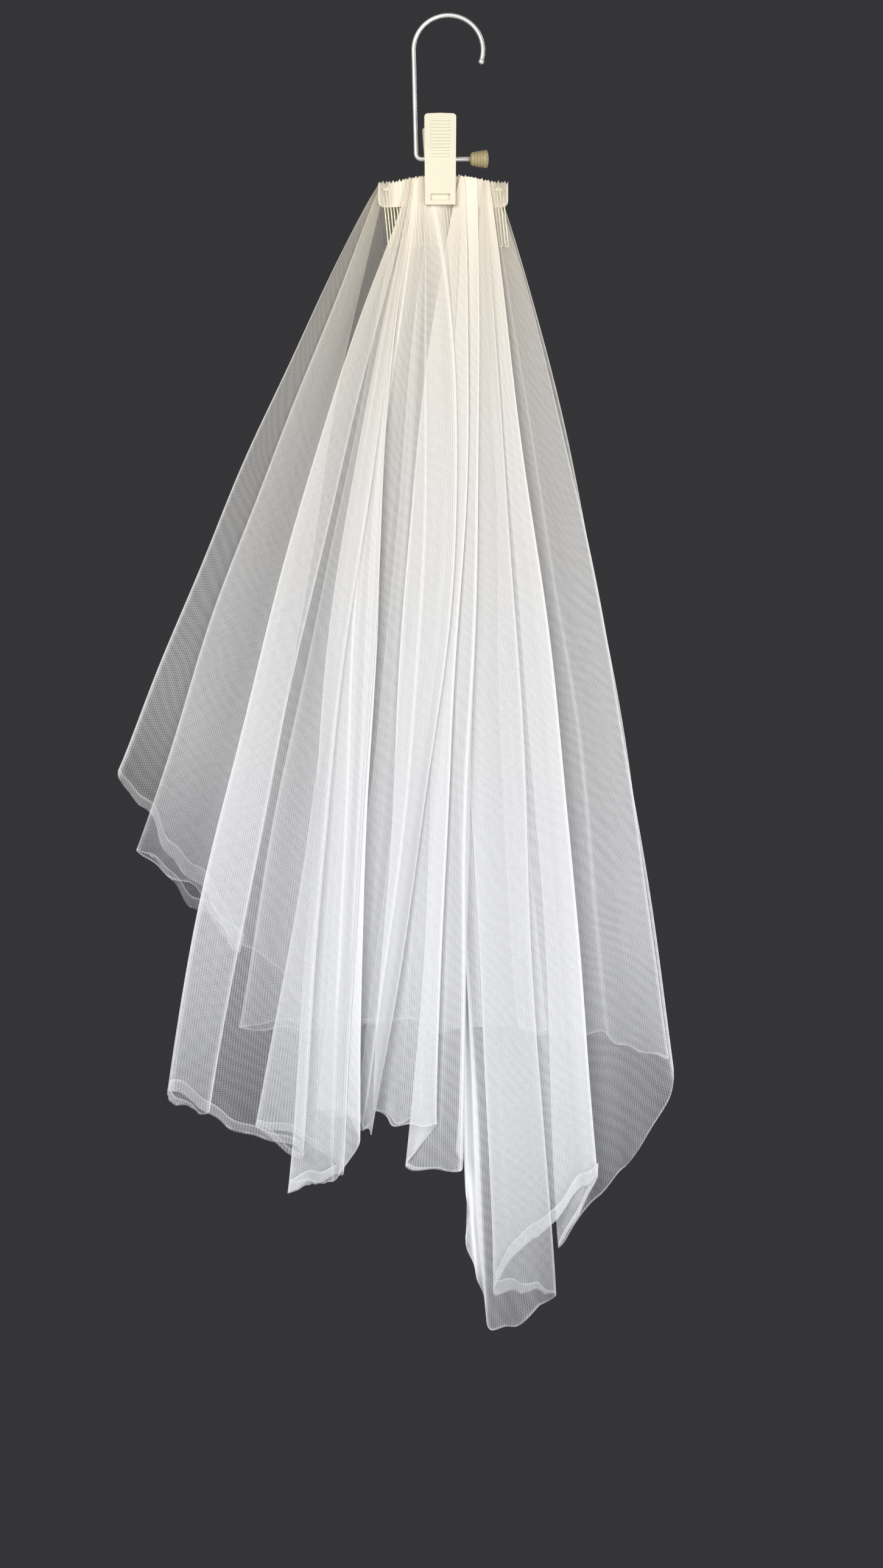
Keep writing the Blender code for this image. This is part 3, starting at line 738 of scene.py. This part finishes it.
class VEIL_OT_comb(bpy.types.Operator):
    """Build the wire comb: a spine and one wire bent into its teeth"""
    bl_idname = "veil.comb"
    bl_label = "Wire comb"

    def execute(self, context):
        comb = context.scene.veil_comb
        gilt = mottled("gilt wire", comb.gilt, 0.28, 0.65, 700.0, 0.2, 0.05)
        path = teeth_path(comb)
        teeth = tube("comb_teeth", path, np.full(len(path), TOOTH_WIRE), 8)
        finish_piece(teeth, gilt, "gilt_wire", "comb")
        x = np.linspace(comb.middle - comb.half_width, comb.middle + comb.half_width, 60)
        rod = np.stack([x, header_back(x, comb), np.full(60, -comb.spine_down)], axis=1)
        spine = tube("comb_spine", rod, np.full(60, SPINE_WIRE), 14)
        finish_piece(spine, gilt, "gilt_wire")
        return {"FINISHED"}


def teeth_path(comb):
    """The teeth's wire: down a leg, round a half circle, up and over to the next."""
    step = 2 * comb.half_width / comb.teeth
    leg = step * LEG_SHARE
    tip = -comb.tip_down + leg + TOOTH_WIRE
    top = -comb.spine_down + TEETH_RISE
    turn = np.linspace(np.pi, 2 * np.pi, 9)
    rise = np.linspace(top, tip, 6)
    over = np.linspace(np.pi, 0, 7)[1:-1]
    one = np.concatenate([
        np.stack([np.full(6, -leg), rise], axis=1)[:-1],
        np.stack([leg * np.cos(turn), tip + leg * np.sin(turn)], axis=1),
        np.stack([np.full(6, leg), rise[::-1]], axis=1)[1:],
        np.stack([step / 2 + (step / 2 - leg) * np.cos(over), top + LOOP_RISE * np.sin(over)],
                 axis=1)])
    middle = comb.middle - comb.half_width + step * (np.arange(comb.teeth) + 0.5)
    x = (middle[:, None] + one[None, :, 0]).ravel()
    z = np.tile(one[:, 1], comb.teeth)
    x = x + TEETH_LEAN * (top - z)
    path = np.stack([x, header_back(x, comb) - TEETH_FORWARD, z], axis=1)
    return path[:-len(over)]


class VEIL_OT_header(bpy.types.Operator):
    """Build the folded, puckered casing over the comb"""
    bl_idname = "veil.header"
    bl_label = "Gathered header"

    def execute(self, context):
        tulle = context.scene.veil_tulle
        comb = context.scene.veil_comb
        header = net_mesh("header_casing", *casing(comb))
        finish_piece(header, net_material("tulle", tulle), "ivory_tulle", "header_band")
        return {"FINISHED"}


def casing(comb):
    """An upside-down U carried along the comb.

    Round the U, the profile goes up the front, over the top and down the back.
    Fine ripples, a sum of two sines of x, push it in and out and lift the top
    edge. The ends are sheer, with rounded lower corners and a denser rim.
    """
    x = np.linspace(CASING_LEFT, CASING_RIGHT, 400)[:, None]
    w = np.linspace(-1, 1, 60)[None]
    bend = np.clip((np.abs(w) - TOP_SHARE) / (1 - TOP_SHARE), 0, 1)
    side = np.sign(w) * np.minimum(1.0, np.abs(w) / TOP_SHARE)
    away = np.minimum(x - CASING_LEFT, CASING_RIGHT - x)
    lift = rounded_corner(away, CASING_CORNER)
    top = header_top(x)
    height = top - TOP_HEIGHT - (top + CASING_END - 0.8 * lift) * bend
    round_top = np.sqrt(np.maximum(0.0, 1 - side**2)) * TOP_HEIGHT
    wave = np.sin(x * PUCKER) + 0.6 * np.sin(x * SECOND_PUCKER + 1.0)
    from_middle = np.abs(x - CASING_MIDDLE)
    quiet = np.clip((0.0330 - from_middle) / 0.008, 0.15, 1)
    y = header_back(x, comb) + side * (CASING_HALF + PUCKER_DEPTH * wave * quiet)
    z = height + round_top + PUCKER_HEIGHT * wave * (1 - bend)
    grid = np.stack([x + 0 * w, y, z], axis=2)
    across = (x[:, 0] - CASING_LEFT) * 3
    down = np.broadcast_to((w + 1) * 0.018, grid.shape[:2])
    cover = 0.86 + 0.10 * np.sin(x * PUCKER) ** 2 + 0 * w
    ends = np.clip((from_middle - 0.0300) / 0.006, 0, 1)
    rim = soft_line(away, 0.0010) + soft_line(1 - bend, 0.06)
    cover = cover * (1 - ends) + ends * (0.30 + 0.10 * bend + 0.22 * np.minimum(rim, 1.0))
    return grid, across, down, np.clip(cover, 0, 0.98)


class VEIL_OT_front_tier(bpy.types.Operator):
    """Hang the long front tier: a left and a right panel in deep folds"""
    bl_idname = "veil.front_tier"
    bl_label = "Front tier"

    def execute(self, context):
        swell = context.scene.veil_tulle.front_swell
        for name, folds, span, seed in (("front_left_panel", LEFT_FOLDS, LEFT_SPAN, 3),
                                        ("front_right_panel", RIGHT_FOLDS, RIGHT_SPAN, 5)):
            hang_panel(context, name, folds, span, -1, swell, seed, 14, "front_tier")
        return {"FINISHED"}


class VEIL_OT_back_tier(bpy.types.Operator):
    """Hang the short back tier with its sheer wings"""
    bl_idname = "veil.back_tier"
    bl_label = "Back tier"

    def execute(self, context):
        swell = context.scene.veil_tulle.back_swell
        hang_panel(context, "back_panel", BACK_FOLDS, BACK_SPAN, 1, swell, 11, 18, "back_tier")
        return {"FINISHED"}


def hang_panel(context, name, folds, span, side, swell, seed, gathers, node):
    """Makes one panel a piece, with the net material, and hides the solid it stands for.
    """
    tulle = context.scene.veil_tulle
    comb = context.scene.veil_comb
    grid, across, down, cover = panel(folds, span, side, swell, tulle, comb, seed, gathers)
    piece = net_mesh(name, grid, across, down, cover)
    finish_piece(piece, net_material("tulle", tulle), "white_tulle", node)


class VEIL_OT_studio(bpy.types.Operator):
    """Set up the camera, the dark backdrop, soft lamps and a pale floor"""
    bl_idname = "veil.studio"
    bl_label = "Studio"

    def execute(self, context):
        studio = context.scene.veil_studio
        scene = context.scene
        lens = bpy.data.cameras.new("camera")
        lens.sensor_width = SENSOR
        lens.lens = SENSOR * studio.distance / studio.frame_height
        lens.clip_start = 0.05
        camera = bpy.data.objects.new("camera", lens)
        camera.location = (MIDDLE[0], -studio.distance, MIDDLE[2])
        camera.rotation_euler = (np.pi / 2, 0.0, 0.0)
        scene.collection.objects.link(camera)
        scene.camera = camera
        world = bpy.data.worlds.new("backdrop")
        world.use_nodes = True
        set_inputs(world.node_tree.nodes["Background"], {"Color": (*studio.backdrop, 1.0)})
        scene.world = world
        scene.view_settings.view_transform = "Standard"
        scene.cycles.transparent_max_bounces = 32
        for name, spot, size, power in LAMPS:
            lamp = bpy.data.lights.new(name, "AREA")
            lamp.size = size
            lamp.energy = power
            held = bpy.data.objects.new(name, lamp)
            held.location = spot
            way = Vector(MIDDLE) - Vector(spot)
            held.rotation_euler = way.to_track_quat("-Z", "Y").to_euler()
            scene.collection.objects.link(held)
        floor_disc(studio)
        return {"FINISHED"}


def floor_disc(studio):
    """A round pale floor: rings of points, from its underside to its middle."""
    turn = np.linspace(0, TAU, 96, endpoint=False)[None]
    radius, height = np.array(FLOOR_RINGS).T[:, :, None]
    height = height - studio.floor_down
    rings = np.stack([radius * np.cos(turn), radius * np.sin(turn), height + 0 * turn], axis=2)
    floor = skin("floor", rings)
    floor.data.materials.append(mottled("pale floor", FLOOR_COLOUR, 0.8, 0.0, 30.0, 0.04, 0.05))
    return floor


class VEIL_PT_panel(bpy.types.Panel):
    """Lists the veil's pieces"""
    bl_idname = "VEIL_PT_panel"
    bl_label = "Bridal veil"
    bl_space_type = "VIEW_3D"
    bl_region_type = "UI"
    bl_category = "Veil"

    def draw(self, context):
        for maker in MAKERS:
            self.layout.operator(maker.bl_idname)
        for group in GROUPS:
            settings = getattr(context.scene, group)
            box = self.layout.box()
            for name in settings.__annotations__:
                box.prop(settings, name)


MAKERS = (VEIL_OT_studio, VEIL_OT_hanger, VEIL_OT_clip, VEIL_OT_comb, VEIL_OT_header,
          VEIL_OT_front_tier, VEIL_OT_back_tier)
GROUPS = {"veil_tulle": TulleSettings, "veil_hanger": HangerSettings,
          "veil_comb": CombSettings, "veil_studio": StudioSettings}
KINDS = (*GROUPS.values(), *MAKERS, VEIL_PT_panel)


def register():
    for kind in KINDS:
        bpy.utils.register_class(kind)
    for name, kind in GROUPS.items():
        setattr(bpy.types.Scene, name, PointerProperty(type=kind))


def unregister():
    for name in GROUPS:
        delattr(bpy.types.Scene, name)
    for kind in KINDS[::-1]:
        bpy.utils.unregister_class(kind)


def main():
    register()
    bpy.ops.veil.studio()
    bpy.ops.veil.hanger()
    bpy.ops.veil.clip()
    bpy.ops.veil.comb()
    bpy.ops.veil.header()
    bpy.ops.veil.front_tier()
    bpy.ops.veil.back_tier()


if __name__ == "__main__":
    main()
